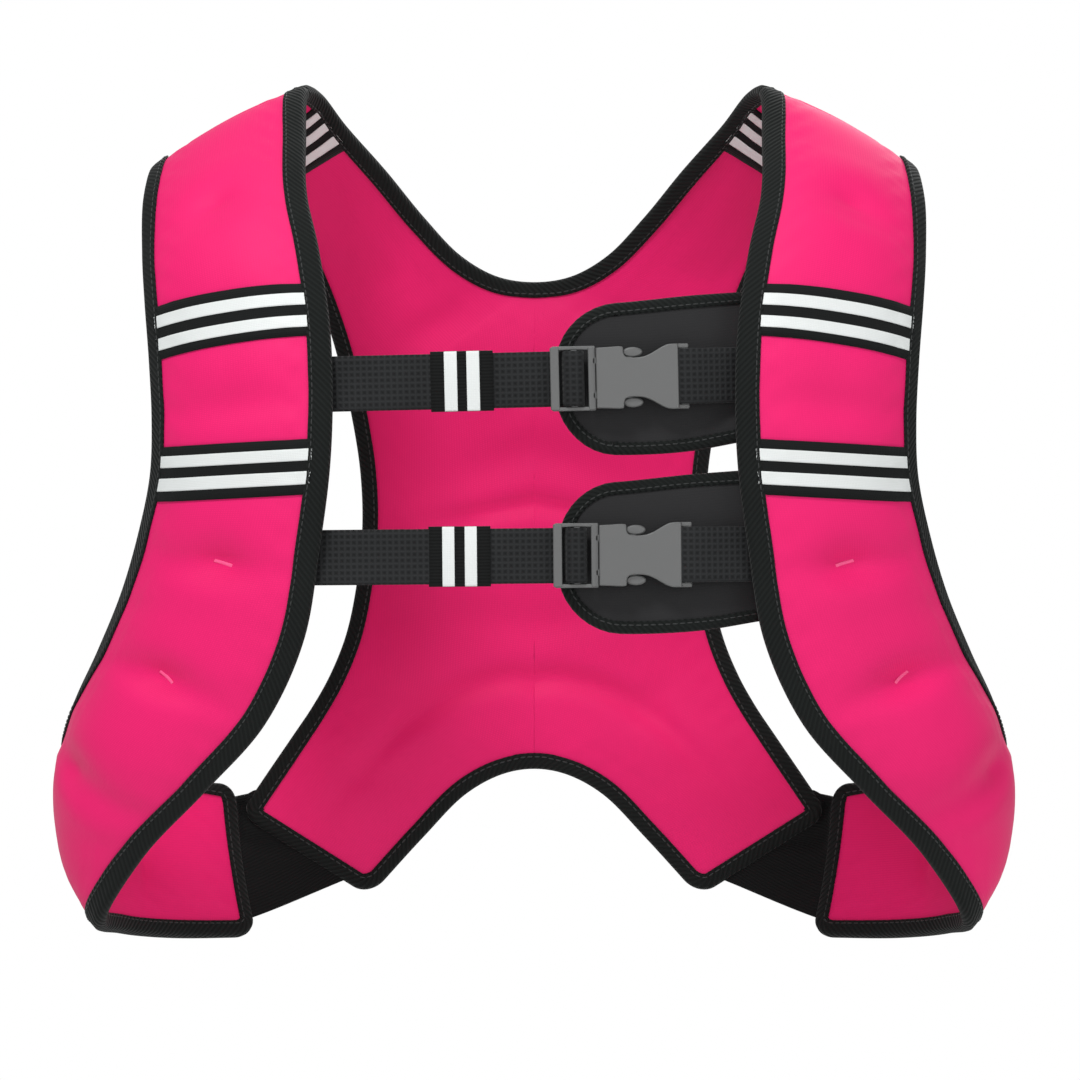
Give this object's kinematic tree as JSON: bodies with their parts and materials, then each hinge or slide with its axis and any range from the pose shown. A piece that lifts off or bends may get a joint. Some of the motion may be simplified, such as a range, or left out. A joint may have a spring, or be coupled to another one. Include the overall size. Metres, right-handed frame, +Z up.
{
  "type": "weighted vest",
  "caption": "Padded weighted exercise vest with broad shoulder straps, wrap-round side wings, a shaped back panel and two buckled chest straps.",
  "frame": {"origin": "midway between the two shoulders, at the height where the straps rest on them", "axes": "+Z up the wearer's back, -Y the way the chest faces, +X to the wearer's left"},
  "size_m": [0.4562, 0.223, 0.4009],
  "materials": {
    "pink_neoprene": "smooth knit-faced neoprene, soft satin",
    "black_binding": "ribbed woven edge binding",
    "black_tape": "flat woven tape",
    "white_stripe": "pale reflective woven stripe",
    "black_elastic": "dense knitted elastic",
    "black_webbing": "flat woven webbing",
    "grey_plastic": "moulded satin plastic",
    "black_neoprene": "knit-faced neoprene"
  },
  "bodies": {
    "root": {"front_panel_right_side": "pink_neoprene", "front_panel_left_side": "pink_neoprene", "back_panel": "pink_neoprene", "front_binding_right_side": "black_binding", "front_binding_left_side": "black_binding", "neck_binding": "black_binding", "back_binding": "black_binding", "chest_tape_upper_right_side": "black_tape", "chest_tape_upper_left_side": "black_tape", "chest_tape_upper_stripe_1_right_side": "white_stripe", "chest_tape_upper_stripe_1_left_side": "white_stripe", "chest_tape_upper_stripe_2_right_side": "white_stripe", "chest_tape_upper_stripe_2_left_side": "white_stripe", "chest_tape_lower_right_side": "black_tape", "chest_tape_lower_left_side": "black_tape", "chest_tape_lower_stripe_1_right_side": "white_stripe", "chest_tape_lower_stripe_1_left_side": "white_stripe", "chest_tape_lower_stripe_2_right_side": "white_stripe", "chest_tape_lower_stripe_2_left_side": "white_stripe", "shoulder_tape_right_side": "black_tape", "shoulder_tape_left_side": "black_tape", "shoulder_stripe_1_right_side": "white_stripe", "shoulder_stripe_1_left_side": "white_stripe", "shoulder_stripe_2_right_side": "white_stripe", "shoulder_stripe_2_left_side": "white_stripe", "shoulder_stripe_3_right_side": "white_stripe", "shoulder_stripe_3_left_side": "white_stripe", "side_elastic_right_side": "black_elastic", "side_elastic_left_side": "black_elastic", "upper_webbing_threaded": "black_webbing", "upper_webbing_sewn": "black_webbing", "upper_buckle_male": "grey_plastic", "upper_buckle_female": "grey_plastic", "upper_keeper": "black_elastic", "upper_keeper_stripe_1": "white_stripe", "upper_keeper_stripe_2": "white_stripe", "upper_backing": "black_neoprene", "upper_backing_binding": "black_binding", "lower_webbing_threaded": "black_webbing", "lower_webbing_sewn": "black_webbing", "lower_buckle_male": "grey_plastic", "lower_buckle_female": "grey_plastic", "lower_keeper": "black_elastic", "lower_keeper_stripe_1": "white_stripe", "lower_keeper_stripe_2": "white_stripe", "lower_backing": "black_neoprene", "lower_backing_binding": "black_binding"}
  },
  "joints": []
}
